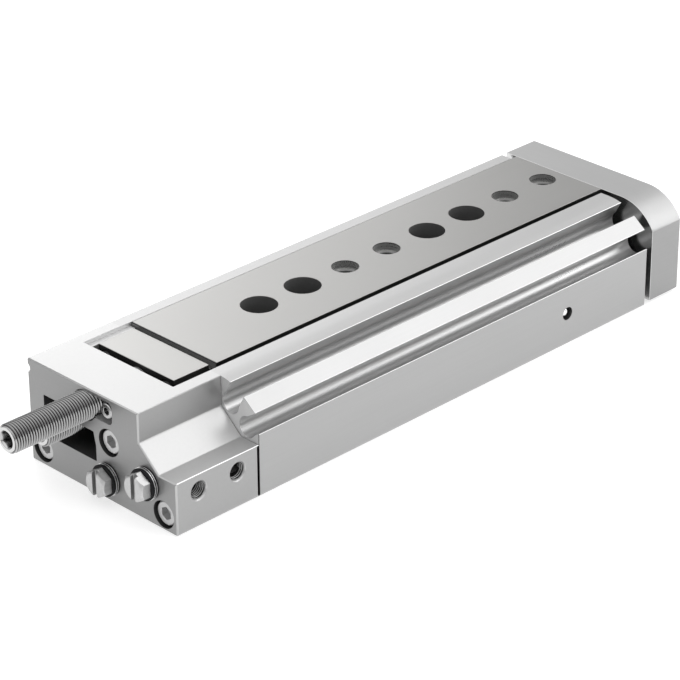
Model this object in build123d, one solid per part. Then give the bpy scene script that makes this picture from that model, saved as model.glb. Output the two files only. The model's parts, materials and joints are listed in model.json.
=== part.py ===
from build123d import *
import os

# Pneumatic slide table, in millimetres.
# X runs along the travel towards the yoke, Y runs across, Z is up from the base.
# The origin lies on the base, midway between the mounting holes on the slide's centre line.

# Whole body. Distances called "from the near side" start at the face with the air ports,
# and those called "from the centre line" start at the slide's, which is the frame's Y = 0.
near_margin = 24.3             # from the near side to the slide's edge
far_margin = 5.3               # from the slide's other edge to the far side
edge_break = 0.4

# Row of holes in the slide, over the mounting holes in the housing's floor
hole_pitch = 20.0
hole_row = ["access", "access", "payload", "payload"] * 2
# Access holes are large, for reaching the mounting screws. Payload holes are small and
# threaded, with a centring recess.
rear_hole_setback = 42.6
front_hole_setback = 6.0
access_diameter = 12.7
centring_diameter = 9.0
centring_depth = 3.3
centring_chamfer = 0.25
payload_core_diameter = 6.8
mounting_diameter = 6.6
mounting_head_diameter = 11.0
mounting_head_depth = 6.5

# Travel
stroke = 100.0
stop_gap = 0.05                # a stop and what it meets, just not touching

# Slide
slide_width = 40.4
slide_thickness = 10.0
slide_setback = 4.7            # its rear end, from the housing's rear end
near_rail_gap = 2.25
far_rail_gap = 0.4
underside_gap = 0.6

# Housing
floor_thickness = 12.0
channel_height = 14.4          # from the floor up to the trough, where the slide runs
channel_near_reach = 7.1       # the channel's walls, from the centre line
channel_far_reach = 18.0
side_face_depth = 14.5         # heights on the near side are depths below the top
land_low_in, land_low_depth = 1.3, 7.7
land_high_in, land_high_depth = 6.55, 3.7
lip_in, lip_depth = 12.6, 0.8
crown_in = 18.6                # where the rounding of the rail's top begins
slot_radius = 3.7
lower_slot_in, lower_slot_depth = 5.1, 13.9
upper_slot_in, upper_slot_depth = 12.6, 8.1
notch_depth, notch_half_height, notch_below_top = 1.0, 1.4, 3.6

# End cap
cap_length = 35.1
gasket_thickness = 0.7             # in a recess in the cap, open at the near side
gasket_inset = 1.0             # from the near side and from the base
gasket_top = 18.0
gasket_far_cover = 1.5         # from the channel's near wall
gasket_play = 0.2              # around it in the recess
cap_wall = 19.5                # solid wall between the end face and the pocket
cap_side_in, cap_side_depth = 16.9, 10.6
cap_ledge_in, cap_ledge_depth = 8.0, 18.3
window_step_reach = 2.5        # where the window gets lower, from the centre line
window_step_drop = 4.0         # by this much below the pocket's floor
window_slope_run, window_slope_drop = 1.0, 4.8
window_corner = 0.4
near_cap_screw = (6.1, 5.6)    # from the near side, height
upper_cap_screw = (31.1, 5.25) # from the near side, below the pocket's floor
far_cap_screw = (5.9, 6.0)     # from the far side, height
cap_screw_size = 5.0
cap_screw_sink = 6.0
cap_screw_grip = 12.0
plug_places = ((32.0, 8.0), (13.4, 14.1))  # from the near side, height
plug_thread = 7.0
plug_thread_length = 6.5
plug_across_flats = 8.7
plug_head = 3.6
plug_crown = 0.9               # chamfered end of the hexagon, share of its flats
plug_slot = 2.0
plug_slot_depth = 1.6
plug_ring_diameter = 10.6
plug_ring_thickness = 1.5
plug_washer_diameter = 11.3
plug_washer_thickness = 0.9
drill_point = 0.5              # a blind hole's depth past the end of its screw
overshoot = 1.0                # how far a cut runs past the face that it starts from
port_setbacks = (9.5, 25.9)    # from the end face
port_height = 12.8
port_core_diameter = 5.2
port_mouth_chamfer = 0.9
air_way_diameter = 4.2         # drillings along the cap

# Cylinder
bore_diameter = 20.0
bore_in = 19.0
bore_height = 13.0
rod_diameter = 8.0
running_clearance = 0.03
spigot_length = 6.0
piston_gap = 2.0
piston_length = 18.0
piston_clearance = 0.12
gland_length = 30.0
gland_setback = 4.2            # front of the gland, from the housing's front
bush_wall = 1.2
bush_length = 18.0
rod_seal_length = 3.6
rod_seal_wall = 2.6
gland_rod_gap = 0.3
ring_section = 1.8
circlip_thickness = 1.2
circlip_bite = 0.6
circlip_width = 2.2
circlip_opening = 5.0
circlip_play = 0.1
magnet_length = 5.0
magnet_depth = 3.0
seal_setback = 2.0             # piston seals, from the piston's ends
cross_hole_setback = 42.0      # from the housing's front
cross_hole_diameter = 4.8
air_channel_in = 4.5
air_channel_height = 11.9
air_channel_diameter = 3.2
ball_sink = 0.6                # ball plug, below the near side

# Ball guide
ball_diameter = 4.0
ball_depth = 5.4               # ball centres, below the top
ball_line_gap = 0.3            # ball centres, outside the slide's edge
groove_clearance = 0.04
ball_count = 8
ball_pitch = 9.5
cage_thickness = 0.9
cage_height = 4.8
cage_clearance = 0.25
ball_play = 0.05               # between a ball and its hole in the cage
strip_thickness = 2.2
strip_height = 5.8
strip_setback = 2.0

# Yoke
yoke_thickness = 15.6
yoke_gap = 2.7
yoke_lift = 0.9
yoke_corner_run = 15.3
yoke_corner_drop = 9.1
yoke_screw_size = 4.0
yoke_screw_offsets = (7.5, 15.0)
yoke_screw_length = 18.0
yoke_head_setback = 0.6        # screw heads, behind the front face
yoke_payload_span = 30.0
yoke_payload_rise = 14.0
yoke_payload_height = 15.0
yoke_payload_depth = 10.0
yoke_payload_core = 4.2
rod_screw_size = 5.0
rod_screw_length = 20.0
piston_screw_grip = 10.0
head_clearance = 0.5           # around a screw head in its counterbore

# Stops
sleeve_diameter = 9.9
sleeve_fit = 0.05
sleeve_socket = 5.0
sleeve_socket_depth = 7.0
sleeve_chamfer = 0.8
buffer_diameter = 6.0
buffer_length = 16.0
retract_offset = -2.5          # sleeve centres, from the centre line
retract_depth = 6.5            # below the top
retract_rear_overhang = 31.5
advance_offset = 8.0
advance_top_gap = 0.95         # below the trough's floor
advance_rear_overhang = 10.5
advance_nose_reach = 3.5
block_rear_gap = 3.9
block_front_gap = 1.3
block_top_depth = 0.8
block_near_inset, block_far_inset = 1.9, 2.4   # from the slide's edges
pad_depth = 1.6                # top of the pad that meets the slide, below the block's top
leg_near_gap, leg_far_gap = 2.2, 3.1           # from the channel's walls
leg_floor_gap = 1.2
leg_slit = 1.0
leg_screw_inset = 4.0          # from the leg's near face
leg_screw_size = 3.0
leg_screw_cover = 1.0          # solid left above the screw's end
strip_block_gap = 0.3          # pocket's filler strip, beyond the block
strip_top_depth = 1.2
strip_slide_gap = 0.4          # from the strip's end to the slide's
block_screw_inset = 5.7        # from the slide's edges
block_screw_drop = 1.0         # below the middle of the slide's thickness
block_screw_size = 4.0
block_screw_grip = 9.0
anvil_length = 9.0
anvil_side_gap = 0.1
anvil_headroom = 0.4
anvil_screw_span = 15.0
anvil_screw_size = 4.0
anvil_screw_grip = 8.0
anvil_head_sink = 4.4

# Clamp beside the retract sleeve
clamp_screw_offset = 10.1      # from the sleeve's centre, towards the near side
clamp_screw_depth = 5.0        # below the top
clamp_room = 2.9               # from the screw's centre to the recess's end
clamp_top_depth, clamp_bottom_depth = 1.4, 9.2
clamp_corner = 1.8
clamp_depth = 9.0
clamp_fit = 0.15
clamp_screw_size = 3.0
clamp_screw_setback = 0.2      # its head, behind the end face
clamp_screw_cover = 3.0        # solid left in front of the screw's end
thread_fit = 0.03

# Socket head screws, as shares of the thread's diameter
head_radius_share = 0.85
head_chamfer_share = 0.08
socket_radius_share = 0.4      # to the flats of the hexagon
socket_floor_share = 0.45

# Positions that follow from the sizes above
near_y = -slide_width / 2 - near_margin
far_y = slide_width / 2 + far_margin
trough_floor = floor_thickness + channel_height
slide_bottom = trough_floor + underside_gap
body_height = slide_bottom + slide_thickness
access_places = [place for place, kind in enumerate(hole_row) if kind == "access"]
payload_places = [place for place, kind in enumerate(hole_row) if kind == "payload"]
mounting_middle = sum(access_places) / len(access_places)


def hole_x(place):
    return (place - mounting_middle) * hole_pitch


def across(distance):
    return near_y + distance


def below_top(depth):
    return body_height - depth


housing_rear = hole_x(0) - rear_hole_setback
housing_front = hole_x(len(hole_row) - 1) + front_hole_setback
cap_front = housing_rear
cap_rear = cap_front - cap_length
pocket_rear = cap_rear + cap_wall
yoke_rear = housing_front + yoke_gap
yoke_front = yoke_rear + yoke_thickness
slide_rear = housing_rear + slide_setback
channel_near = -channel_near_reach
channel_far = channel_far_reach
near_rail = -slide_width / 2 - near_rail_gap
far_rail = slide_width / 2 + far_rail_gap
ball_y = slide_width / 2 + ball_line_gap
ball_z = below_top(ball_depth)
strip_gap = cage_thickness + 2 * cage_clearance
bore_y = across(bore_in)
gland_front = housing_front - gland_setback
gland_rear = gland_front - gland_length
piston_rear = housing_rear + spigot_length + piston_gap
piston_front = piston_rear + piston_length
block_rear = pocket_rear + block_rear_gap
block_front = slide_rear - block_front_gap
block_screw_y = slide_width / 2 - block_screw_inset
leg_near = channel_near + leg_near_gap
leg_far = channel_far - leg_far_gap
leg_bottom = floor_thickness + leg_floor_gap
retract_height = below_top(retract_depth)
advance_height = trough_floor - advance_top_gap - sleeve_diameter / 2
clamp_screw_y = retract_offset - clamp_screw_offset
clamp_screw_height = below_top(clamp_screw_depth)
retract_at = (retract_offset, retract_height)
advance_at = (advance_offset, advance_height)
advance_nose = block_front + advance_nose_reach
anvil_rear = advance_nose + stroke + stop_gap
cross_hole_x = housing_front - cross_hole_setback
cap_screw_centres = (
    (across(near_cap_screw[0]), near_cap_screw[1]),
    (across(upper_cap_screw[0]), trough_floor - upper_cap_screw[1]),
    (far_y - far_cap_screw[0], far_cap_screw[1]),
)

STAND = (Align.CENTER, Align.CENTER, Align.MIN)
LOW = (Align.MIN, Align.MIN, Align.MIN)


# Basic shapes
def rod_x(radius, x_from, x_to, y, z):
    return Pos(x_from, y, z) * Rot(0, 90, 0) * Cylinder(radius, x_to - x_from, align=STAND)


def ring_x(outer, inner, x_from, x_to, y, z):
    return rod_x(outer, x_from, x_to, y, z) - rod_x(inner, x_from - overshoot, x_to + overshoot, y, z)


def rod_y(radius, x, y_from, y_to, z):
    return Pos(x, y_from, z) * Rot(-90, 0, 0) * Cylinder(radius, y_to - y_from, align=STAND)


def rod_z(radius, x, y, z_from, z_to):
    return Pos(x, y, z_from) * Cylinder(radius, z_to - z_from, align=STAND)


def block(x_from, x_to, y_from, y_to, z_from, z_to):
    return Pos(x_from, y_from, z_from) * Box(x_to - x_from, y_to - y_from, z_to - z_from, align=LOW)


def extrude_x(face, x_from, x_to):
    return Pos(x_from, 0, 0) * extrude(Plane.YZ * face, amount=x_to - x_from)


def rectangle(y_from, y_to, z_from, z_to):
    return Pos(y_from, z_from) * Rectangle(y_to - y_from, z_to - z_from, align=(Align.MIN, Align.MIN))


def closed_face(points):
    return make_face(Polyline(*points, close=True))


def screw_head_radius(size):
    return head_radius_share * size


def socket_screw(size, length):
    """Stands with its head upwards and the head's seat at the origin."""
    body = Cylinder(screw_head_radius(size), size, align=STAND)
    body = chamfer(body.edges().group_by(Axis.Z)[-1], head_chamfer_share * size)
    body += Pos(0, 0, -length) * Cylinder(size / 2, length, align=STAND)
    socket = extrude(RegularPolygon(socket_radius_share * size, 6, major_radius=False), amount=size)
    return body - Pos(0, 0, socket_floor_share * size) * socket


def screw_hole(size, grip, head_sink):
    """The cut for socket_screw: its counterbore, and a hole as long as the screw."""
    hole = Cylinder(screw_head_radius(size) + head_clearance, head_sink + overshoot, align=STAND)
    return hole + Pos(0, 0, -grip) * Cylinder(size / 2 + thread_fit, grip + overshoot, align=STAND)


# Housing
def slot_cut(corner_a, corner_b, centre):
    """A sensor slot: a round channel with parallel walls up to the two corners of its mouth."""
    mouth = ((corner_a[0] + corner_b[0]) / 2, (corner_a[1] + corner_b[1]) / 2)
    inward = (centre[0] - mouth[0], centre[1] - mouth[1])
    floor_a = (corner_a[0] + inward[0], corner_a[1] + inward[1])
    floor_b = (corner_b[0] + inward[0], corner_b[1] + inward[1])
    throat = closed_face([corner_a, corner_b, floor_b, floor_a])
    return throat + Pos(*centre) * Circle(slot_radius)


def far_notch():
    radius = (notch_half_height ** 2 + notch_depth ** 2) / (2 * notch_depth)
    return Pos(far_y - notch_depth + radius, below_top(notch_below_top)) * Circle(radius)


def housing_section():
    side_top = (near_y, below_top(side_face_depth))
    land_low = (across(land_low_in), below_top(land_low_depth))
    land_high = (across(land_high_in), below_top(land_high_depth))
    lip = (across(lip_in), below_top(lip_depth))
    crown = (across(crown_in), body_height)
    outline = Polyline(
        crown, (far_y - edge_break, body_height), (far_y, body_height - edge_break),
        (far_y, edge_break), (far_y - edge_break, 0), (near_y + edge_break, 0),
        (near_y, edge_break), side_top, land_low, land_high, lip,
    )
    face = make_face(outline + TangentArc(crown, lip, tangent=(-1, 0)))
    face -= rectangle(near_rail, far_rail, trough_floor, body_height + overshoot)
    face -= rectangle(channel_near, channel_far, floor_thickness, body_height)
    lower_centre = (across(lower_slot_in), below_top(lower_slot_depth))
    upper_centre = (across(upper_slot_in), below_top(upper_slot_depth))
    face -= slot_cut(side_top, land_low, lower_centre)
    face -= slot_cut(land_high, lip, upper_centre)
    face -= far_notch()
    outer = ball_y + strip_gap / 2 + strip_thickness
    for side in (-1, 1):
        pocket = rectangle(min(0, side * outer), max(0, side * outer),
                           ball_z - strip_height / 2, ball_z + strip_height / 2)
        face -= pocket
    return face


def make_housing():
    body = extrude_x(housing_section(), housing_rear, housing_front)
    body -= rod_x(bore_diameter / 2, housing_rear - overshoot, housing_front + overshoot, bore_y,
                  bore_height)
    body -= rod_x(bore_diameter / 2 + circlip_bite, gland_front, gland_front + circlip_thickness,
                  bore_y, bore_height)
    channel_y = across(air_channel_in)
    body -= rod_x(air_channel_diameter / 2, housing_rear - overshoot, cross_hole_x, channel_y,
                  air_channel_height)
    body -= rod_y(cross_hole_diameter / 2, cross_hole_x, near_y - overshoot, bore_y, air_channel_height)
    for y, z in cap_screw_centres:
        body -= rod_x(cap_screw_size / 2 + thread_fit, housing_rear - overshoot,
                      housing_rear + cap_screw_grip + drill_point, y, z)
    for place in access_places:
        body -= rod_z(mounting_diameter / 2, hole_x(place), 0, -overshoot, floor_thickness + overshoot)
        body -= rod_z(mounting_head_diameter / 2, hole_x(place), 0,
                      floor_thickness - mounting_head_depth, floor_thickness + overshoot)
        body -= rod_z(access_diameter / 2, hole_x(place), 0, floor_thickness, body_height)
    for x, y in anvil_screw_positions():
        cut = screw_hole(anvil_screw_size, floor_thickness, anvil_head_sink)
        body -= Pos(x, y, anvil_head_sink) * Rot(180, 0, 0) * cut
    return body


# End cap and its seal
def cap_outline():
    points = [
        (near_y + edge_break, 0), (near_y, edge_break), (near_y, below_top(cap_ledge_depth)),
        (across(cap_ledge_in), below_top(cap_ledge_depth)),
        (across(cap_side_in), below_top(cap_side_depth)), (across(cap_side_in), body_height),
        (far_y - edge_break, body_height), (far_y, body_height - edge_break),
        (far_y, edge_break), (far_y - edge_break, 0),
    ]
    return closed_face(points) - far_notch()


def cap_pocket():
    """The room for the stop block: open at the top, with the channel for its leg."""
    room = rectangle(near_rail, far_rail, trough_floor, body_height + overshoot)
    return room + rectangle(channel_near, channel_far, floor_thickness, body_height)


def window():
    """The opening in the cap's wall that the advance sleeve comes out of."""
    step = trough_floor - window_step_drop
    points = [
        (channel_near, floor_thickness), (channel_far, floor_thickness), (channel_far, trough_floor),
        (window_step_reach, trough_floor), (window_step_reach, step),
        (channel_near + window_slope_run, step), (channel_near, step - window_slope_drop),
    ]
    face = closed_face(points)
    return fillet(face.vertices(), window_corner)


def clamp_outline(fit):
    """A bar with rounded corners, from beside the clamp screw to the retract sleeve."""
    z_from, z_to = below_top(clamp_bottom_depth) + fit, below_top(clamp_top_depth) - fit
    bar = rectangle(clamp_screw_y - clamp_room + fit, retract_offset - fit, z_from, z_to)
    return fillet(bar.vertices().group_by(Axis.X)[0], clamp_corner - fit)


def make_end_cap():
    body = extrude_x(cap_outline(), cap_rear, cap_front)
    body = chamfer(body.faces().sort_by(Axis.X)[0].edges(), edge_break)
    body -= extrude_x(cap_pocket(), pocket_rear, cap_front + overshoot)
    recess = rectangle(near_y - overshoot, gasket_far() + gasket_play, gasket_inset - gasket_play,
                       gasket_top + gasket_play)
    body -= extrude_x(recess, cap_front - gasket_thickness, cap_front + overshoot)
    body -= extrude_x(window(), cap_rear - overshoot, pocket_rear + overshoot)
    body += rod_x(bore_diameter / 2 - running_clearance, cap_front - gasket_thickness,
                  housing_rear + spigot_length, bore_y, bore_height)
    groove_from = housing_rear + spigot_length / 2 - ring_section / 2
    body -= ring_x(bore_diameter / 2 + overshoot, bore_diameter / 2 - ring_section, groove_from,
                   groove_from + ring_section, bore_y, bore_height)
    sleeve_hole = sleeve_diameter / 2 + sleeve_fit
    body -= rod_x(sleeve_hole, cap_rear - overshoot, pocket_rear + overshoot, *retract_at)
    mouth = Pos(cap_rear, *retract_at) * Rot(0, 90, 0)
    body -= mouth * Cone(sleeve_hole + edge_break, sleeve_hole, edge_break, align=STAND)
    body -= extrude_x(clamp_outline(0), cap_rear - overshoot, cap_rear + clamp_depth)
    body -= rod_x(clamp_screw_size / 2 + thread_fit, cap_rear,
                  pocket_rear - clamp_screw_cover + drill_point, clamp_screw_y, clamp_screw_height)
    for y, z in cap_screw_centres:
        body -= rod_x(screw_head_radius(cap_screw_size) + head_clearance, cap_rear - overshoot,
                      cap_rear + cap_screw_sink, y, z)
        body -= rod_x(cap_screw_size / 2 + thread_fit, cap_rear, cap_front + overshoot, y, z)
    for y_in, z in plug_places:
        body -= rod_x(plug_thread / 2 + thread_fit, cap_rear - overshoot,
                      cap_rear + plug_thread_length + drill_point, across(y_in), z)
    return body - cap_air_ways()


def cap_air_ways():
    """Rear port to the cylinder's rear end, front port to the long channel in the housing."""
    rear_port, front_port = (cap_rear + setback for setback in port_setbacks)
    alternative, main = plug_places
    radius, way_radius = port_core_diameter / 2, air_way_diameter / 2
    ways = rod_y(radius, rear_port, near_y - overshoot, across(main[0]), port_height)
    ways += rod_x(way_radius, cap_rear, housing_rear + spigot_length + overshoot, across(main[0]),
                  main[1])
    ways += rod_x(way_radius, cap_rear, rear_port + way_radius, across(alternative[0]),
                  alternative[1])
    ways += rod_y(radius, front_port, near_y - overshoot, across(air_channel_in) + radius, port_height)
    ways += rod_x(air_channel_diameter / 2, front_port, cap_front + overshoot, across(air_channel_in),
                  air_channel_height)
    for x in (rear_port, front_port):
        mouth = Pos(x, near_y, port_height) * Rot(-90, 0, 0)
        ways += mouth * Cone(radius + port_mouth_chamfer, radius, port_mouth_chamfer, align=STAND)
    return ways


def gasket_far():
    return channel_near - gasket_far_cover


def make_cap_gasket():
    face = rectangle(near_y + gasket_inset, gasket_far(), gasket_inset, gasket_top)
    face -= Pos(bore_y, bore_height) * Circle(bore_diameter / 2)
    face -= Pos(across(air_channel_in), air_channel_height) * Circle(air_channel_diameter / 2)
    face -= Pos(*cap_screw_centres[0]) * Circle(cap_screw_size / 2 + thread_fit)
    return extrude_x(face, cap_front - gasket_thickness, cap_front)


def make_pocket_strip():
    """Fills the pocket beyond the stop block, up to the slide's end."""
    near = slide_width / 2 - block_far_inset + strip_block_gap
    return block(pocket_rear, slide_rear - strip_slide_gap, near, far_rail, trough_floor,
                 below_top(strip_top_depth))


def make_cap_screws():
    seat = cap_rear + cap_screw_sink
    screw = socket_screw(cap_screw_size, housing_rear + cap_screw_grip - seat)
    return [Pos(seat, y, z) * Rot(0, -90, 0) * screw for y, z in cap_screw_centres]


def make_port_plugs():
    plugs = []
    under_head = plug_washer_thickness + plug_ring_thickness
    for y_in, z in plug_places:
        place = Pos(cap_rear - under_head - plug_head, across(y_in), z) * Rot(0, 90, 0)
        hexagon = RegularPolygon(plug_across_flats / 2, 6, major_radius=False)
        crown_radius = plug_crown * plug_across_flats / 2
        crown = Cone(crown_radius, crown_radius + plug_head, plug_head, align=STAND)
        head = extrude(hexagon, amount=plug_head) & crown
        shank = Cylinder(plug_thread / 2, plug_head + under_head + plug_thread_length, align=STAND)
        slot = Box(2 * plug_across_flats, plug_slot, 2 * plug_slot_depth)
        plugs.append(place * (head + shank - slot))
    return plugs


def plug_rings(diameter, x_from, thickness):
    return [ring_x(diameter / 2, plug_thread / 2 + thread_fit, x_from, x_from + thickness,
                   across(y_in), z) for y_in, z in plug_places]


def make_plug_washers():
    return plug_rings(plug_washer_diameter, cap_rear - plug_washer_thickness, plug_washer_thickness)


def make_plug_seal_rings():
    x_from = cap_rear - plug_washer_thickness - plug_ring_thickness
    return plug_rings(plug_ring_diameter, x_from, plug_ring_thickness)


def make_channel_ball():
    radius = cross_hole_diameter / 2
    return Pos(cross_hole_x, near_y + ball_sink + radius, air_channel_height) * Sphere(radius - thread_fit)


# Clamp for the retract sleeve
def make_clamp_piece():
    body = extrude_x(clamp_outline(clamp_fit), clamp_head_seat(), cap_rear + clamp_depth)
    sleeve_room = sleeve_diameter / 2 + 2 * sleeve_fit
    body -= rod_x(sleeve_room, cap_rear - overshoot, pocket_rear, *retract_at)
    return body - rod_x(clamp_screw_size / 2 + thread_fit, cap_rear, pocket_rear, clamp_screw_y,
                        clamp_screw_height)


def clamp_head_seat():
    return cap_rear + clamp_screw_setback + clamp_screw_size


def make_clamp_screw():
    screw = socket_screw(clamp_screw_size, pocket_rear - clamp_screw_cover - clamp_head_seat())
    return Pos(clamp_head_seat(), clamp_screw_y, clamp_screw_height) * Rot(0, -90, 0) * screw


# Stop sleeves with their buffers
def make_sleeve(rear, nose, y, z):
    body = rod_x(sleeve_diameter / 2, rear, nose, y, z)
    body = chamfer(body.edges().filter_by(GeomType.CIRCLE), sleeve_chamfer)
    socket = RegularPolygon(sleeve_socket / 2, 6, major_radius=False)
    body -= Pos(rear, y, z) * Rot(0, 90, 0) * extrude(socket, amount=sleeve_socket_depth)
    return body - rod_x(buffer_diameter / 2, nose - buffer_length, nose + overshoot, y, z)


def make_buffer(nose, y, z):
    return rod_x(buffer_diameter / 2 - thread_fit, nose - buffer_length, nose, y, z)


# Cylinder
def make_rod_gland():
    radius = bore_diameter / 2 - running_clearance
    body = ring_x(radius, rod_diameter / 2 + gland_rod_gap, gland_rear, gland_front, bore_y, bore_height)
    body -= rod_x(bush_radius(), gland_rear - overshoot, gland_rear + bush_length, bore_y, bore_height)
    body -= rod_x(rod_seal_radius(), gland_front - rod_seal_length, gland_front + overshoot, bore_y,
                  bore_height)
    groove = gland_seal_rear()
    return body - ring_x(radius + overshoot, bore_diameter / 2 - ring_section, groove,
                         groove + ring_section, bore_y, bore_height)


def bush_radius():
    return rod_diameter / 2 + bush_wall


def rod_seal_radius():
    return rod_diameter / 2 + rod_seal_wall


def gland_seal_rear():
    return (gland_rear + gland_front) / 2


def make_bore_ring(x_from):
    return ring_x(bore_diameter / 2 - running_clearance, bore_diameter / 2 - ring_section, x_from,
                  x_from + ring_section, bore_y, bore_height)


def make_rod_bush():
    inner = rod_diameter / 2 + running_clearance
    return ring_x(bush_radius(), inner, gland_rear, gland_rear + bush_length, bore_y, bore_height)


def make_rod_seal():
    inner = rod_diameter / 2 + running_clearance
    return ring_x(rod_seal_radius(), inner, gland_front - rod_seal_length, gland_front, bore_y,
                  bore_height)


def make_circlip():
    outer = bore_diameter / 2 + circlip_bite - circlip_play / 2
    ring = ring_x(outer, outer - circlip_width, gland_front,
                  gland_front + circlip_thickness - circlip_play, bore_y, bore_height)
    opening = block(gland_front - overshoot, gland_front + circlip_thickness + overshoot,
                    bore_y - circlip_opening / 2, bore_y + circlip_opening / 2, bore_height,
                    bore_height + bore_diameter)
    return ring - opening


def seal_groove_starts():
    return piston_rear + seal_setback, piston_front - seal_setback - ring_section


def make_piston():
    radius = bore_diameter / 2 - piston_clearance
    body = rod_x(radius, piston_rear, piston_front, bore_y, bore_height)
    for start in seal_groove_starts():
        body -= ring_x(radius + overshoot, bore_diameter / 2 - ring_section, start, start + ring_section,
                       bore_y, bore_height)
    body -= ring_x(radius + overshoot, magnet_inner(), *magnet_span(), bore_y, bore_height)
    place = Pos(piston_rear + rod_screw_size, bore_y, bore_height) * Rot(0, -90, 0)
    return body - place * screw_hole(rod_screw_size, piston_length, rod_screw_size)


def magnet_inner():
    return bore_diameter / 2 - magnet_depth


def magnet_span():
    middle = (piston_rear + piston_front) / 2
    return middle - magnet_length / 2, middle + magnet_length / 2


def make_piston_magnet():
    outer = bore_diameter / 2 - 2 * piston_clearance
    return ring_x(outer, magnet_inner(), *magnet_span(), bore_y, bore_height)


def make_piston_screw():
    seat = piston_rear + rod_screw_size
    screw = socket_screw(rod_screw_size, piston_front + piston_screw_grip - seat)
    return Pos(seat, bore_y, bore_height) * Rot(0, -90, 0) * screw


def make_piston_rod():
    body = rod_x(rod_diameter / 2, piston_front, yoke_rear, bore_y, bore_height)
    hole = rod_screw_size / 2 + thread_fit
    body -= rod_x(hole, piston_front - overshoot, piston_front + piston_screw_grip + drill_point, bore_y,
                  bore_height)
    screw_end = rod_screw_seat() - rod_screw_length
    return body - rod_x(hole, screw_end - drill_point, yoke_rear + overshoot, bore_y, bore_height)


# Ball guide
def make_strip(side, carrier):
    """A ground strip with a ball groove, in the housing or in the slide."""
    if carrier == "housing":
        inner = ball_y + strip_gap / 2
        x_from, x_to = housing_rear + strip_setback, housing_front - strip_setback
    else:
        inner = ball_y - strip_gap / 2 - strip_thickness
        x_from, x_to = slide_rear + strip_setback, yoke_rear - strip_setback
    edges = sorted((side * inner, side * (inner + strip_thickness)))
    face = rectangle(*edges, ball_z - strip_height / 2, ball_z + strip_height / 2)
    face -= Pos(side * ball_y, ball_z) * Circle(ball_diameter / 2 + groove_clearance)
    return extrude_x(face, x_from, x_to)


def ball_positions():
    """Balls stay between the strips over the whole travel, at half the slide's speed."""
    overlap_from = slide_rear + strip_setback + stroke
    overlap_to = housing_front - strip_setback
    middle = (overlap_from + overlap_to) / 2 - stroke / 2
    first = middle - ball_pitch * (ball_count - 1) / 2
    return [first + ball_pitch * i for i in range(ball_count)]


def make_cage(side):
    places = ball_positions()
    y = side * ball_y
    x_from = places[0] - ball_pitch / 2
    x_to = places[-1] + ball_pitch / 2
    body = block(x_from, x_to, y - cage_thickness / 2, y + cage_thickness / 2,
                 ball_z - cage_height / 2, ball_z + cage_height / 2)
    for x in places:
        body -= rod_y(ball_diameter / 2 + ball_play, x, y - cage_thickness, y + cage_thickness, ball_z)
    return body


def make_balls(side):
    return [Pos(x, side * ball_y, ball_z) * Sphere(ball_diameter / 2) for x in ball_positions()]


# Slide and yoke
def make_slide_plate():
    half = slide_width / 2
    face = rectangle(-half, half, slide_bottom, body_height)
    inner = ball_y - strip_gap / 2 - strip_thickness
    for side in (-1, 1):
        edges = sorted((side * inner, side * (half + overshoot)))
        face -= rectangle(*edges, ball_z - strip_height / 2, ball_z + strip_height / 2)
    body = extrude_x(face, slide_rear, yoke_rear)
    for place in access_places:
        body -= rod_z(access_diameter / 2, hole_x(place), 0, slide_bottom - overshoot,
                      body_height + overshoot)
    for place in payload_places:
        body -= Pos(hole_x(place), 0, 0) * payload_hole()
    for offset in yoke_screw_offsets:
        for side in (-1, 1):
            body -= rod_x(yoke_screw_size / 2 + thread_fit, yoke_rear - yoke_screw_grip() - drill_point,
                          yoke_rear + overshoot, side * offset, ball_z)
    for side in (-1, 1):
        body -= rod_x(block_screw_size / 2 + thread_fit, slide_rear - overshoot,
                      slide_rear + block_screw_grip + drill_point, side * block_screw_y,
                      block_screw_z())
    return body


def payload_hole():
    hole = rod_z(payload_core_diameter / 2, 0, 0, slide_bottom - overshoot, body_height + overshoot)
    hole += rod_z(centring_diameter / 2, 0, 0, body_height - centring_depth, body_height + overshoot)
    mouth = Pos(0, 0, body_height - centring_chamfer)
    top_radius = centring_diameter / 2 + centring_chamfer
    return hole + mouth * Cone(centring_diameter / 2, top_radius, centring_chamfer, align=STAND)


def yoke_screw_grip():
    return yoke_screw_length - (yoke_thickness - yoke_screw_size - yoke_head_setback)


def make_yoke_plate():
    start = (across(yoke_corner_run), body_height)
    end = (near_y, body_height - yoke_corner_drop)
    outline = Polyline(end, (near_y, yoke_lift), (far_y, yoke_lift), (far_y, body_height), start)
    face = make_face(outline + TangentArc(start, end, tangent=(-1, 0)))
    body = extrude_x(face, yoke_rear, yoke_front)
    body = chamfer(body.faces().sort_by(Axis.X)[-1].edges(), edge_break)
    head_sink = yoke_screw_size + yoke_head_setback
    for offset in yoke_screw_offsets:
        for side in (-1, 1):
            place = Pos(yoke_front - head_sink, side * offset, ball_z) * Rot(0, 90, 0)
            body -= place * screw_hole(yoke_screw_size, yoke_thickness, head_sink)
    place = Pos(rod_screw_seat(), bore_y, bore_height) * Rot(0, 90, 0)
    body -= place * screw_hole(rod_screw_size, yoke_thickness, rod_screw_size + yoke_head_setback)
    for y in (-yoke_payload_span / 2, yoke_payload_span / 2):
        for rise in (-yoke_payload_rise / 2, yoke_payload_rise / 2):
            body -= rod_x(yoke_payload_core / 2, yoke_front - yoke_payload_depth,
                          yoke_front + overshoot, y, yoke_payload_height + rise)
    return body


def rod_screw_seat():
    return yoke_front - rod_screw_size - yoke_head_setback


def make_yoke_screws():
    seat = yoke_front - yoke_screw_size - yoke_head_setback
    screw = socket_screw(yoke_screw_size, yoke_screw_length)
    return [Pos(seat, side * offset, ball_z) * Rot(0, 90, 0) * screw
            for offset in yoke_screw_offsets for side in (-1, 1)]


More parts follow.
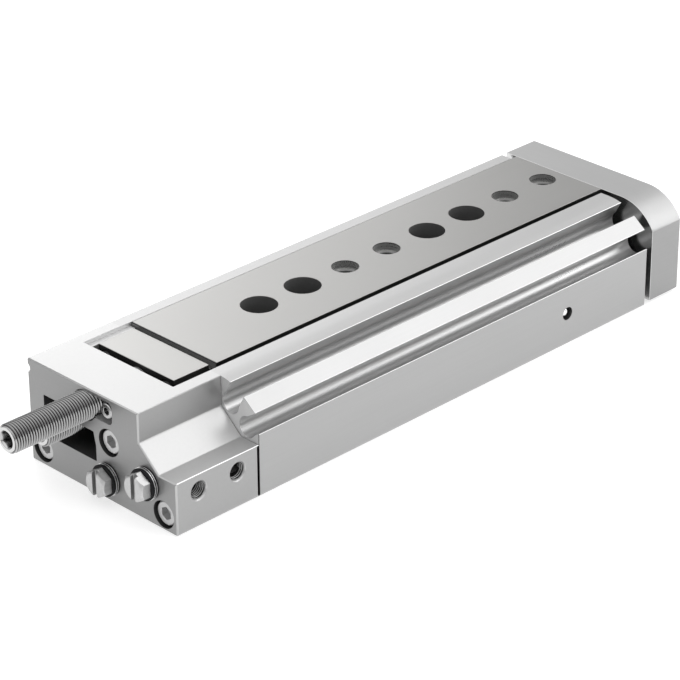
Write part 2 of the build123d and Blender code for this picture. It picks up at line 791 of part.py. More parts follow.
def make_rod_screw():
    screw = socket_screw(rod_screw_size, rod_screw_length)
    return Pos(rod_screw_seat(), bore_y, bore_height) * Rot(0, 90, 0) * screw


# Stop block, which hangs behind and below the slide and carries the advance sleeve
def block_screw_z():
    return slide_bottom + slide_thickness / 2 - block_screw_drop


def make_stop_block():
    top = below_top(block_top_depth)
    near, far = -slide_width / 2 + block_near_inset, slide_width / 2 - block_far_inset
    body = block(block_rear, block_front, near, far, slide_bottom, top)
    body += block(block_front, slide_rear, near, far, slide_bottom, top - pad_depth)
    body += block(block_rear, block_front, leg_near, leg_far, leg_bottom, slide_bottom)
    body -= rod_x(sleeve_diameter / 2 + sleeve_fit, block_rear - overshoot, block_front + overshoot,
                  *advance_at)
    body -= block(block_rear - overshoot, block_front + overshoot, leg_near - overshoot, advance_offset,
                  advance_height - leg_slit / 2, advance_height + leg_slit / 2)
    depth = leg_screw_reach() + drill_point
    body -= leg_screw_place() * screw_hole(leg_screw_size, depth, leg_screw_size)
    for side in (-1, 1):
        place = Pos(block_rear + block_screw_size, side * block_screw_y, block_screw_z())
        hole = screw_hole(block_screw_size, slide_rear - block_rear, block_screw_size)
        body -= place * Rot(0, -90, 0) * hole
    return body


def leg_screw_place():
    middle = (block_rear + block_front) / 2
    return Pos(middle, leg_near + leg_screw_inset, leg_bottom + leg_screw_size) * Rot(180, 0, 0)


def leg_screw_reach():
    return slide_bottom - leg_bottom - leg_screw_size - leg_screw_cover


def make_leg_screw():
    return leg_screw_place() * socket_screw(leg_screw_size, leg_screw_reach())


def make_block_screws():
    seat = block_rear + block_screw_size
    screw = socket_screw(block_screw_size, slide_rear + block_screw_grip - seat)
    return [Pos(seat, side * block_screw_y, block_screw_z()) * Rot(0, -90, 0) * screw
            for side in (-1, 1)]


# Fixed anvil for the advance stop
def anvil_screw_positions():
    x = anvil_rear + anvil_length / 2
    middle = (channel_near + channel_far) / 2
    return [(x, middle + side * anvil_screw_span / 2) for side in (-1, 1)]


def make_anvil():
    body = block(anvil_rear, anvil_rear + anvil_length, channel_near + anvil_side_gap,
                 channel_far - anvil_side_gap, floor_thickness, trough_floor - anvil_headroom)
    for x, y in anvil_screw_positions():
        body -= rod_z(anvil_screw_size / 2 + thread_fit, x, y, 0,
                      floor_thickness + anvil_screw_grip + drill_point)
    return body


def make_anvil_screws():
    length = floor_thickness - anvil_head_sink + anvil_screw_grip
    screw = socket_screw(anvil_screw_size, length)
    return [Pos(x, y, anvil_head_sink) * Rot(180, 0, 0) * screw for x, y in anvil_screw_positions()]


retract_nose = block_rear - stop_gap
cap_ring_start = housing_rear + spigot_length / 2 - ring_section / 2

nodes = {
    "housing": make_housing(),
    "end_cap": make_end_cap(),
    "cap_gasket": make_cap_gasket(),
    "pocket_strip": make_pocket_strip(),
    "cap_screws": make_cap_screws(),
    "port_plugs": make_port_plugs(),
    "plug_seal_rings": make_plug_seal_rings(),
    "plug_washers": make_plug_washers(),
    "channel_ball": make_channel_ball(),
    "stop_clamp_piece": make_clamp_piece(),
    "stop_clamp_screw": make_clamp_screw(),
    "retract_stop_sleeve": make_sleeve(cap_rear - retract_rear_overhang, retract_nose, *retract_at),
    "retract_buffer": make_buffer(retract_nose, *retract_at),
    "advance_stop_sleeve": make_sleeve(cap_rear - advance_rear_overhang, advance_nose, *advance_at),
    "advance_buffer": make_buffer(advance_nose, *advance_at),
    "advance_anvil": make_anvil(),
    "anvil_screws": make_anvil_screws(),
    "rod_gland": make_rod_gland(),
    "gland_seal": make_bore_ring(gland_seal_rear()),
    "rod_bush": make_rod_bush(),
    "rod_seal": make_rod_seal(),
    "gland_circlip": make_circlip(),
    "cap_bore_seal": make_bore_ring(cap_ring_start),
    "piston": make_piston(),
    "piston_seals": [make_bore_ring(start) for start in seal_groove_starts()],
    "piston_magnet": make_piston_magnet(),
    "piston_screw": make_piston_screw(),
    "piston_rod": make_piston_rod(),
    "slide_plate": make_slide_plate(),
    "yoke_plate": make_yoke_plate(),
    "yoke_screws": make_yoke_screws(),
    "rod_screw": make_rod_screw(),
    "stop_block": make_stop_block(),
    "stop_block_screws": make_block_screws(),
    "advance_clamp_screw": make_leg_screw(),
}
for name, side in (("near", -1), ("far", 1)):
    nodes["housing_raceway_" + name] = make_strip(side, "housing")
    nodes["slide_raceway_" + name] = make_strip(side, "slide")
    nodes["ball_cage_" + name] = make_cage(side)
    nodes["guide_balls_" + name] = make_balls(side)

os.makedirs("parts", exist_ok=True)
for node, shape in nodes.items():
    if isinstance(shape, list):
        shape = Compound(children=shape)
    export_step(shape, f"parts/{node}.step")
print(len(nodes), "nodes, from", round(cap_rear, 2), "to", round(yoke_front, 2))
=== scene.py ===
import json
import math

import bmesh
import bpy
from mathutils import Matrix, Vector

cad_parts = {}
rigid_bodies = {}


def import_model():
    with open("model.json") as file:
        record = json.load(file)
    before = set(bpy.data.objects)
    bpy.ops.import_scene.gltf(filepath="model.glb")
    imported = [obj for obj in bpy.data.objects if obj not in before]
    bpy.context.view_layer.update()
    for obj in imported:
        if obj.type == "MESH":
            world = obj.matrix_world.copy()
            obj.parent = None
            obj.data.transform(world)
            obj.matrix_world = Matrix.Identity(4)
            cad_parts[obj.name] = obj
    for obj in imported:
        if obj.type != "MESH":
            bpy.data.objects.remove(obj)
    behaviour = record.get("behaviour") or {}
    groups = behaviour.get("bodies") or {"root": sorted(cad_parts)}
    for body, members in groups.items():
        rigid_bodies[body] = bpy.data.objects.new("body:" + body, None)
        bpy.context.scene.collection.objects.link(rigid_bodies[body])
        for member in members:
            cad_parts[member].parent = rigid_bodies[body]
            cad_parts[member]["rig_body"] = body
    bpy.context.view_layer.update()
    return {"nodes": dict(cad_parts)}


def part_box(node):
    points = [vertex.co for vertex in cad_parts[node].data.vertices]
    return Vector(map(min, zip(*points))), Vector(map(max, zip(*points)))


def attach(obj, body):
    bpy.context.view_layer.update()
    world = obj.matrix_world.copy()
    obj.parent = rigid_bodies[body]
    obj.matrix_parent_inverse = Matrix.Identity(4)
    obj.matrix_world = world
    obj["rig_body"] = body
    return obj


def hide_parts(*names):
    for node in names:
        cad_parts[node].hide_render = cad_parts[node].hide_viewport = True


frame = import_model()
cadNodes = frame["nodes"]
mm = 0.001
print("frame loaded:", len(cadNodes), "nodes")


class Wire:  # one output socket: arithmetic on it adds Math nodes to its own tree
    def __init__(self, graph, socket):
        self.graph = graph
        self.socket = socket

    def math(self, operation, first, second):
        return self.graph.add("ShaderNodeMath", {"operation": operation}, {0: first, 1: second})

    def __add__(self, other):
        return self.math("ADD", self, other)

    def __radd__(self, other):
        return self.math("ADD", other, self)

    def __sub__(self, other):
        return self.math("SUBTRACT", self, other)

    def __rsub__(self, other):
        return self.math("SUBTRACT", other, self)

    def __mul__(self, other):
        return self.math("MULTIPLY", self, other)

    def __truediv__(self, other):
        return self.math("DIVIDE", self, other)


class Graph:
    def __init__(self, tree):
        self.tree = tree

    # a node from its type, its settings (set first) and the values or links of its sockets
    def add(self, kind, settings=None, values=None, out=0):
        node = self.tree.nodes.new(kind)
        for name, value in (settings or {}).items():
            setattr(node, name, value)
        for key, value in (values or {}).items():
            if isinstance(value, Wire):
                self.tree.links.new(value.socket, node.inputs[key])
            else:
                node.inputs[key].default_value = value
        return Wire(self, node.outputs[out]) if node.outputs else node

    def pick(self, wire, out):
        return Wire(self, wire.socket.node.outputs[out])


def startFinish(name):
    finish = bpy.data.materials.new(name)
    finish.use_nodes = True
    finish.node_tree.nodes.clear()
    return finish, Graph(finish.node_tree)


# how rough the noise is, how a metal's streaks and specks mix, how many clouds fit in a metre,
# and how far a soft finish's roughness varies
noiseLooks = {"roughness": 0.55, "streaks": 0.6, "specks": 0.4, "clouds": 22.0, "softVariation": 0.2}


def stretchedNoise(graph, perMetre, detail=2.0, seed=0.0):
    place = graph.add("ShaderNodeTexCoord", out="Object")
    stretched = graph.add("ShaderNodeVectorMath", {"operation": "MULTIPLY"}, {0: place, 1: perMetre})
    moved = graph.add("ShaderNodeVectorMath", {"operation": "ADD"}, {0: stretched, 1: (seed, seed, seed)})
    return graph.add("ShaderNodeTexNoise", {"noise_dimensions": "3D"},
                     {"Vector": moved, "Scale": 1.0, "Detail": detail,
                      "Roughness": noiseLooks["roughness"]})


def blendColours(graph, factor, first, second):
    return graph.add("ShaderNodeMix", {"data_type": "RGBA"}, {0: factor, 6: first, 7: second}, out=2)


def shade(tint, share):
    return tuple(c * share for c in tint) + (1.0,)


# the root shade darkens the bottoms of thread grooves, which carry an attribute of their own: this is
# painted shade in the roots, and crestShare scales the groove attribute so that more of each groove is
# darkened
def metalFinish(name, tint, roughness, streaks, grain, spread=0.06, roughnessSpread=0.1,
                bump=0.12, depth=0.01, metallic=1.0, paintedRootShade=None, crestShare=1.0):
    finish, graph = startFinish(name)
    lines = stretchedNoise(graph, streaks)
    specks = stretchedNoise(graph, grain, detail=3.0, seed=7.0)
    clouds = stretchedNoise(graph, (noiseLooks["clouds"],) * 3, seed=3.0)
    mixed = lines * noiseLooks["streaks"] + specks * noiseLooks["specks"]
    colour = blendColours(graph, mixed, shade(tint, 1 - spread), shade(tint, 1 + spread))
    # painted shade: the thread's roots blend towards a dark tint
    if paintedRootShade is not None:
        groove = graph.add("ShaderNodeAttribute", {
            "attribute_type": "GEOMETRY", "attribute_name": "groove"}, out="Fac")
        colour = blendColours(graph, groove * crestShare, colour, shade(tint, paintedRootShade))
    rough = roughness + (mixed - 0.5) * roughnessSpread + (clouds - 0.5) * roughnessSpread
    relief = graph.add("ShaderNodeBump", None, {"Strength": bump, "Distance": depth * mm, "Height": mixed})
    surface = graph.add("ShaderNodeBsdfPrincipled", None, {
        "Base Color": colour, "Roughness": rough, "Metallic": metallic, "Normal": relief})
    graph.add("ShaderNodeOutputMaterial", None, {"Surface": surface})
    return finish


def softFinish(name, tint, roughness, scale, spread=0.2, bump=0.25, depth=0.03, gloss=0.5):
    finish, graph = startFinish(name)
    specks = stretchedNoise(graph, (scale, scale, scale), detail=4.0)
    colour = blendColours(graph, specks, shade(tint, 1 - spread), shade(tint, 1 + spread))
    rough = roughness + (specks - 0.5) * noiseLooks["softVariation"]
    relief = graph.add("ShaderNodeBump", None, {"Strength": bump, "Distance": depth * mm, "Height": specks})
    surface = graph.add("ShaderNodeBsdfPrincipled", None, {
        "Base Color": colour, "Roughness": rough, "Specular IOR Level": gloss, "Normal": relief})
    graph.add("ShaderNodeOutputMaterial", None, {"Surface": surface})
    return finish


along = (30.0, 1400.0, 1400.0)      # streaks per metre that run the length of an extrusion
across = (1400.0, 30.0, 1400.0)
turned = (40.0, 40.0, 3200.0)       # rings that a drill or a mill leaves in an upright hole
brushed = (160.0, 1500.0, 900.0)    # short marks along a turned or milled fitting
allRound = (900.0, 900.0, 900.0)
fine = (2600.0, 2600.0, 2600.0)
anodised = 0.68                     # how metallic an anodised face looks


def grey(share):
    return (share, share, share)


finishes = {
    "extruded": metalFinish("extruded aluminium", grey(0.437), 0.36, along, fine, metallic=anodised),
    # a darker copy of the extruded finish for the near side: painted shade
    "extrudedSide": metalFinish("near side painted shade", grey(0.369), 0.36, along, fine, metallic=anodised),
    # a lighter copy of the extruded finish for the end face at the seam and the far wall inside: painted
    # light
    "extrudedEnd": metalFinish("end face painted light", grey(0.75), 0.36, allRound, fine, metallic=anodised),
    "milled": metalFinish("milled aluminium", grey(0.477), 0.38, allRound, fine, metallic=anodised),
    # darker copies of the milled finish for the cap's near side, upper wall and rear end face, also used on
    # the slide's rear face and the plugs' slots: painted shade
    "milledSide": metalFinish("milled near side painted shade", grey(0.343), 0.38, allRound, fine, metallic=anodised),
    "milledWall": metalFinish("milled upper wall painted shade", grey(0.313), 0.38, allRound, fine, metallic=anodised),
    "milledEnd": metalFinish("milled end face painted shade", grey(0.281), 0.38, allRound, fine, metallic=anodised),
    # darker copies of the milled finish for the yoke's near side and for the whole yoke: painted shade
    # where light falls off at the yoke's end
    "yokeSide": metalFinish("milled yoke side painted shade", grey(0.297), 0.38, along, fine, metallic=0.7),
    "yokeMilledPaintedShade": metalFinish("milled yoke aluminium painted shade", grey(0.369), 0.38, across, fine, metallic=0.7),
    # a dark finish for the housing's front end face in the gap before the yoke: painted shade
    "sawn": metalFinish("front end face painted shade", grey(0.17), 0.45, allRound, fine, spread=0.15, metallic=0.8),
    # a near-black finish for walls in the channel between the rails, at the seam and on the stop block's
    # pad: painted shade
    "trough": metalFinish("sheltered wall painted shade", grey(0.12), 0.4, along, fine, metallic=0.8),
    # a near-black finish for hole walls, sockets, screws and the stop block's back: painted shade
    "deep": metalFinish("hole wall painted shade", grey(0.05), 0.45, allRound, fine, spread=0.2, metallic=0.7),
    # lighter copies of the extruded finish for the sensor slots' walls: painted light
    "slotUpper": metalFinish("upper sensor slot painted light", grey(0.51), 0.3, along, fine, spread=0.22,
                             metallic=anodised),
    "slotLower": metalFinish("lower sensor slot painted light", grey(0.48), 0.3, along, fine, spread=0.14,
                             metallic=anodised),
    # a darker finish for the slide's access holes: painted shade
    "drilled": metalFinish("access hole wall painted shade", grey(0.20), 0.45, turned, fine, spread=0.2,
                           metallic=0.75),
    # a lighter, glossier copy for the yoke's back face: painted light
    "yokeBack": metalFinish("yoke back", grey(0.62), 0.24, allRound, fine),
    # bright finishes for broken corners, the ledge line, washer beads, payload step rings and the sleeve
    # rim: painted highlights
    "edge": metalFinish("broken edge", grey(0.76), 0.3, allRound, fine),
    "softEdge": metalFinish("softly broken edge", grey(0.60), 0.34, allRound, fine),
    "ground": metalFinish("ground slide steel", (0.322, 0.319, 0.313), 0.33, along, fine, spread=0.04),
    "groundBlock": metalFinish("ground block steel", (0.338, 0.335, 0.328), 0.33, across, fine,
                               spread=0.04),
    # a dark finish for the raceways and the slide's sides in the gap beside the rails: painted shade
    "oiled": metalFinish("gap steel painted shade", (0.14, 0.14, 0.138), 0.3, along, fine),
    "bored": metalFinish("bored steel", (0.34, 0.34, 0.335), 0.28, turned, fine, spread=0.5, bump=0.3,
                         roughnessSpread=0.2, metallic=0.6),
    "bright": metalFinish("bright screw steel", grey(0.50), 0.28, allRound, fine),
    "zinc": metalFinish("zinc plated screw steel", grey(0.54), 0.4, allRound, fine, metallic=0.75),
    # screw threads and tapped holes: painted shade in the roots, leaving light crest lines
    "thread": metalFinish("rolled thread steel", grey(0.46), 0.22, allRound, fine, paintedRootShade=0.04),
    "tapped": metalFinish("tapped hole", grey(0.42), 0.3, allRound, fine, paintedRootShade=0.01, crestShare=2.0,
                          metallic=0.5),
    "polished": metalFinish("polished ball", grey(0.80), 0.12, allRound, fine, roughnessSpread=0.04),
    "chromed": metalFinish("hard chromed rod", (0.62, 0.63, 0.64), 0.10, across, fine,
                           roughnessSpread=0.04),
    "nickel": metalFinish("nickel plated brass", grey(0.55), 0.5, brushed, fine, spread=0.22, bump=0.3),
    "bronze": metalFinish("bearing bronze", (0.52, 0.34, 0.17), 0.35, across, fine),
    "rubber": softFinish("black rubber", (0.010, 0.010, 0.011), 0.55, 2200.0, gloss=0.12),
    "cage": softFinish("cage plastic", (0.02, 0.02, 0.022), 0.42, 1500.0),
    "magnet": softFinish("bonded magnet", (0.06, 0.058, 0.06), 0.6, 1800.0),
}

slotFinish = {
    "anodised_aluminium": "extruded", "ground_slide_steel": "ground", "bright_steel": "bright",
    "chromed_rod": "chromed", "black_rubber": "rubber", "bearing_bronze": "bronze",
    "cage_plastic": "cage", "nickel_plated_brass": "nickel", "bonded_magnet": "magnet",
}
# the raceways and the stop block's screws get dark finishes, and the yoke a darker copy of the milled
# finish: painted shade
ownFinish = {
    "cap_screws": "zinc", "channel_ball": "polished", "end_cap": "milled", "pocket_strip": "milled",
    "stop_block": "groundBlock", "stop_block_screws": "deep", "yoke_plate": "yokeMilledPaintedShade",
    "housing_raceway_near": "oiled", "housing_raceway_far": "oiled",
    "slide_raceway_near": "oiled", "slide_raceway_far": "oiled",
}
slotOf = {name: piece.data.materials[0].name.split(".")[0] for name, piece in cadNodes.items()}


def finishOf(node):
    return ownFinish.get(node, slotFinish[slotOf[node]])


for name, piece in cadNodes.items():
    for place in range(len(piece.data.materials)):
        piece.data.materials[place] = finishes[finishOf(name)]
print("finishes on the CAD nodes")


def showMesh(name, mesh, finishNames, body, slot, *stoodFor):
    piece = bpy.data.objects.new(name, mesh)
    bpy.context.scene.collection.objects.link(piece)
    mesh.materials.clear()
    for finish in finishNames:
        mesh.materials.append(finishes[finish])
    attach(piece, body)
    if stoodFor:
        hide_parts(*stoodFor)
    return piece


def bakedMesh(piece):
    bpy.context.view_layer.update()
    shown = piece.evaluated_get(bpy.context.evaluated_depsgraph_get())
    return bpy.data.meshes.new_from_object(shown)


# what is welded, flat, sharp or round on a skin, in mm and degrees, and which edges run along X
skinLimits = {"looseWeld": 0.001, "flatTurn": 0.2, "sharpTurn": 35.0, "breakSteps": 2,
              "lengthwise": 0.99, "ringWeld": 0.003, "roundTurn": 40.0}


def meshOf(skin, name):
    mesh = bpy.data.meshes.new(name)
    skin.to_mesh(mesh)
    skin.free()
    return mesh


# a node's loose triangles as one skin, with its flat faces whole again
def wholeSkin(node):
    skin = bmesh.new()
    skin.from_mesh(cadNodes[node].data)
    bmesh.ops.remove_doubles(skin, verts=skin.verts[:], dist=skinLimits["looseWeld"] * mm)
    bmesh.ops.dissolve_limit(skin, angle_limit=math.radians(skinLimits["flatTurn"]),
                             verts=skin.verts[:], edges=skin.edges[:])
    return skin


# where a CAD node starts and ends along one axis, in mm
def span(node, axis):
    low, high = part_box(node)
    return low[axis] / mm, high[axis] / mm


def near(place, reach=0.1):
    return place - reach, place + reach


# the lowest and the highest corner of the room between three spans
def room(x, y, z):
    return (x[0], y[0], z[0]), (x[1], y[1], z[1])


def uprightHole(x, reach, low, high):
    return room(near(x, reach), near(0, reach), (low, high))


whole = (-200, 200)
seam, housingFront = span("housing", 0)
capRear = span("end_cap", 0)[0]
pocketRear = span("pocket_strip", 0)[0]
blockRear = span("stop_block", 0)[0]
slideRear = span("slide_plate", 0)[0]
yokeRear = span("yoke_plate", 0)[0]
top = span("housing", 2)[1]
slideSides = span("slide_plate", 1)
nearSide = near(span("housing", 1)[0])
inHousing = (seam + 0.1, housingFront - 0.1)
farWall = (20.5, 20.7)
upperCorners = (36, 38)
roundedCorners = room(whole, (-32, -25), (33, 36.6))
accessX = (-50, -30, 30, 50)
payloadX = (-10, 10, 70, 90)
portX = (-118.2, -101.8)
portHeight = 12.8
capScrewPlaces = ((-38.4, 5.6), (-13.4, 21.15), (19.6, 6.0))
plugPlaces = ((-12.5, 8.0), (-31.1, 14.1))

# How wide each sharp corner is broken, in mm: the first of "rules" that fits an edge gives its
# width. A rule has a room, whether it only holds for edges along X, and the width. "faces" gives
# other finishes to the faces in a room, and "broken" to the broken corners there. "drawn" moves
# the corners in a room. "opened" widens circles: the axis they turn about, their centre, the
# stretch of that axis, the radii that are found, and the new radius.
# Most finishes that faces and broken give are darker or lighter copies of a piece's finish: painted shade
# and painted light.
dressed = {
    "housing": {
        "finish": "extruded", "width": 0.2, "least": 0.5,
        "rules": [(*room(near(seam), whole, (34, 40)), False, 0.0),
                  (*room(near(seam), nearSide, (-1, 23)), False, 0.2),
                  (*room(near(seam), whole, whole), False, 0.04),
                  (*roundedCorners, True, 0.22),
                  (*room(whole, (-50, -25), (-1, 36.6)), True, 0.35),
                  (*room(whole, (20, 21), upperCorners), True, 0.1),
                  (*room(whole, (-22.5, 20), upperCorners), True, 0.08),
                  (*room(whole, (-50, 22), upperCorners), False, 0.1)],
        # faces: painted shade on the front end, the near side, the channel between the rails and the cross
        # hole; painted light on the end face at the seam, the far wall and the sensor slots
        "faces": [(*room(near(housingFront), whole, whole), "sawn"),
                  (*room(near(seam), whole, whole), "extrudedEnd"),
                  (*room(whole, nearSide, (-1, 36)), "extrudedSide"),
                  (*room(inHousing, farWall, (20, 36.9)), "extrudedEnd"),
                  (*room(inHousing, (-22.6, 20.5), (11.9, 36.6)), "trough"),
                  (*room((51, 57), (-44.3, -30), (9, 15)), "deep"),
                  (*room(inHousing, (-36.2, -27.6), (24.5, 33.0)), "slotUpper"),
                  (*room(inHousing, (-43.4, -35.5), (19.0, 27.2)), "slotLower")],
        # broken corners: painted shade at the seam's near corner, painted highlights on the rounded corners
        # and along the near side
        "broken": [(*room((seam - 0.1, seam + 0.3), (-44.6, -44.2), (-1, 23)), "trough"),
                   (*roundedCorners, "edge"),
                   (*room(whole, (-50, -25), (5, 36.6)), "softEdge")]},
    "end_cap": {
        "finish": "milled", "width": 0.2, "least": 0.5,
        "opened": [(1, (x, portHeight), (-43.75, -43.5), (2.4, 2.9), 3.02) for x in portX],
        "rules": [(*room(near(seam), whole, (32.5, 40)), False, 0.0),
                  (*room(near(seam), (-43.8, -22), (18, 34.5)), False, 0.16),
                  (*room(near(seam), whole, whole), False, 0.04),
                  (*room(near(capRear), whole, whole), False, 0.06),
                  (*room(whole, (-22.5, 21), upperCorners), False, 0.08),
                  (*room(whole, (-45, -44), (18, 19)), True, 0.3),
                  (*room(whole, (-50, -25), whole), True, 0.3)],
        # faces: painted shade on the near side, the rear end, the upper wall, the screw and port holes and
        # the channel; painted light on the far wall
        "faces": [(*room(whole, nearSide, (-1, 36)), "milledSide"),
                  (*room(near(capRear, 0.05), whole, whole), "milledEnd"),
                  (*room(whole, (-27.7, -27.5), (26, 36.5)), "milledWall")]
        + [(*room(near(-124.4, 3.05), near(y, 4.85), near(z, 4.85)), "deep") for y, z in capScrewPlaces]
        + [(*room(near(x, 2.7), near(-38.0, 5.55), near(portHeight, 5.55)), "deep") for x in portX]
        + [(*room((capRear + 0.1, pocketRear - 0.1), (-8, 18), (4, 26.5)), "trough"),
           (*room((pocketRear - 0.1, seam + 0.1), farWall, (20, 36.9)), "extrudedEnd"),
           (*room((pocketRear - 0.1, seam - 0.1), (-22.6, 20.5), (11.9, 36.6)), "trough")],
        # broken corners: a painted highlight along the ledge, painted shade at the rear end and at the seam
        "broken": [(*room((-127, -93), (-45, -44), (18, 19)), "edge"),
                   (*room((capRear - 0.1, capRear + 0.2), whole, whole), "milledEnd"),
                   (*room((seam - 0.2, seam + 0.1), (-43.8, -22), (18, 34.5)), "trough")]},
    "yoke_plate": {
        "finish": "yokeMilledPaintedShade", "width": 0.25, "least": 0.5,
        "rules": [(*room(near(yokeRear, 0.2), whole, whole), False, 0.14)],
        # faces: painted light on the yoke's back and painted shade on its near side; broken corners at its
        # back get a painted highlight
        "faces": [(*room(near(yokeRear), whole, whole), "yokeBack"),
                  (*room(whole, nearSide, (-1, 36)), "yokeSide")],
        "broken": [(*room((yokeRear - 0.2, yokeRear + 0.4), whole, whole), "softEdge")]},
    "slide_plate": {
        "finish": "ground", "width": 0.1, "least": 0.1,
        "rules": [(*room(near(slideRear, 0.05), whole, near(top)), False, 0.35)]
        + [(*uprightHole(x, 5.2, 36.9, 37.1), False, 0.06) for x in payloadX],
        "opened": [(2, (x, 0), (26.9, 33.8), (3.0, 4.0), 3.75) for x in payloadX]
        + [(2, (x, 0), (33.6, 37.1), (4.2, 4.7), 4.8) for x in payloadX],
        "drawn": [(*room(whole, near(slideSides[1]), near(top)), (0, 0.22, 0))],
        # faces: painted shade in the threaded cores, the access holes, the rear face and the sides, a
        # painted highlight on each payload hole's step ring; broken corners at the rear and the payload
        # rims get painted shade
        "faces": [(*uprightHole(x, 3.9, 27.05, 33.65), "deep") for x in payloadX]
        + [(*uprightHole(x, 5.2, 33.75, 36.95), "bored") for x in payloadX]
        + [(*uprightHole(x, 5.2, 33.6, 33.75), "edge") for x in payloadX]
        + [(*uprightHole(x, 6.5, 27.05, 36.9), "drilled") for x in accessX]
        + [(*room((slideRear - 0.1, slideRear + 0.05), whole, whole), "milledEnd")]
        + [(*room(whole, near(side), (26, 36.85)), "oiled") for side in slideSides],
        "broken": [(*room((slideRear - 0.1, slideRear + 0.4), whole, (36, 37.1)), "deep")]
        + [(*uprightHole(x, 5.3, 36.5, 37.1), "deep") for x in payloadX]},
    "stop_block": {
        "finish": "groundBlock", "width": 0.2, "least": 0.5, "rules": [],
        # painted shade on the pad's top and on the block's rear face and corners
        "faces": [(*room((-90.5, slideRear + 0.1), whole, (34.5, 34.7)), "trough"),
                  (*room(near(blockRear), whole, whole), "deep")],
        "broken": [(*room(near(blockRear, 0.3), whole, (0, 35.9)), "deep")]},
    "pocket_strip": {"finish": "milled", "width": 0.15, "least": 0.4, "rules": []},
    "cap_screws": {"finish": "zinc", "width": 0.18, "least": 0.2, "rules": []},
    "stop_clamp_screw": {
        "finish": "bright", "width": 0.15, "least": 0.2, "rules": [],
        # painted shade in the screw's socket
        "faces": [(*room((-127.45, -126), (-13.9, -11.3), (30.7, 33.3)), "deep")]},
    "stop_clamp_piece": {"finish": "bright", "width": 0.15, "least": 0.3, "rules": []},
    "port_plugs": {
        "finish": "nickel", "width": 0.15, "least": 0.2, "rules": [],
        # painted shade in the plugs' slots
        "faces": [(*room((-133.6, -132), near(y, 1.05), near(z, 5)), "milledEnd")
                  for y, z in plugPlaces]},
}


def inside(spot, low, high):
    return all(low[k] <= spot[k] <= high[k] for k in range(3))


def breakWidth(edge, sizes):
    one, two = (v.co / mm for v in edge.verts)
    middle = (one + two) / 2
    alongX = abs((one - two).normalized().x) > skinLimits["lengthwise"]
    for low, high, onlyAlongX, width in sizes["rules"]:
        if inside(middle, low, high) and (alongX or not onlyAlongX):
            return width
    return sizes["width"]


def breakEdges(node, sizes):
    skin = wholeSkin(node)
    for corner in skin.verts:
        for low, high, shift in sizes.get("drawn", []):
            if inside(corner.co / mm, low, high):
                corner.co += Vector(shift) * mm
        for axis, centre, heights, reach, radius in sizes.get("opened", []):
            height = corner.co[axis] / mm
            one, two = [k for k in range(3) if k != axis]
            offset = (corner.co[one] / mm - centre[0], corner.co[two] / mm - centre[1])
            distance = math.hypot(*offset)
            if heights[0] <= height <= heights[1] and reach[0] < distance < reach[1]:
                corner.co[one] = (centre[0] + offset[0] * radius / distance) * mm
                corner.co[two] = (centre[1] + offset[1] * radius / distance) * mm
    widest = max([sizes["width"]] + [rule[3] for rule in sizes["rules"]])
    weights = skin.edges.layers.float.new("bevel_weight_edge")
    for edge in skin.edges:
        edge.smooth = True
        if len(edge.link_faces) != 2:
            continue
        turn = math.degrees(edge.calc_face_angle(0.0))
        narrow = min(f.calc_area() / max(e.calc_length() for e in f.edges) for f in edge.link_faces)
        width = breakWidth(edge, sizes)
        sharp = turn > skinLimits["sharpTurn"]
        if sharp and narrow > sizes["least"] * mm and width > 0:
            edge[weights] = width / widest
        elif sharp:
            edge.smooth = False
    for face in skin.faces:
        face.smooth = True
    mesh = meshOf(skin, node + "Skin")
    if "custom_normal" in mesh.attributes:
        mesh.attributes.remove(mesh.attributes["custom_normal"])
    mesh.materials.clear()
    # broken corners get the bright edge finish, a painted highlight, unless broken gives them another
    # finish
    for finish in (sizes["finish"], "edge"):
        mesh.materials.append(finishes[finish])
    mesh.polygons.foreach_set("material_index", [0] * len(mesh.polygons))
    draft = bpy.data.objects.new(node + "Draft", mesh)
    bpy.context.scene.collection.objects.link(draft)
    bevel = draft.modifiers.new("edges", "BEVEL")
    bevel.material = 1
    bevel.limit_method = "WEIGHT"
    bevel.width = widest * mm
    bevel.segments = skinLimits["breakSteps"]
    bevel.harden_normals = True
    bevel.use_clamp_overlap = False
    bevel.miter_outer = "MITER_ARC"
    finished = bakedMesh(draft)
    bpy.data.objects.remove(draft)
    used = [sizes["finish"]]
    indices = []
    for face in finished.polygons:
        finish = sizes["finish"]
        for low, high, other in sizes.get("broken" if face.material_index else "faces", []):
            if inside(face.center / mm, low, high):
                finish = other
                break
        if finish not in used:
            used.append(finish)
        indices.append(used.index(finish))
    piece = showMesh(node + "Dressed", finished, used, cadNodes[node]["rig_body"], slotOf[node], node)
    piece.data.polygons.foreach_set("material_index", indices)


for node, sizes in dressed.items():
    breakEdges(node, sizes)
print("edges broken on", len(dressed), "pieces")


threadSockets = (
    ("Length", "Float", 0.05), ("Crest radius", "Float", 0.005), ("Depth", "Float", 0.0006),
    ("Pitch", "Float", 0.001), ("Chamfer", "Float", 0.0008), ("Sides", "Int", 48),
    ("Rows per turn", "Int", 6), ("Inside", "Bool", False), ("Finish", "Material", None),
)
# how steep the flanks are and how flat the crests, and what keeps the rows off the turning points
threadProfile = {"steepness": 1.4, "flat": 0.2, "rowShift": 0.001, "weld": 0.002}


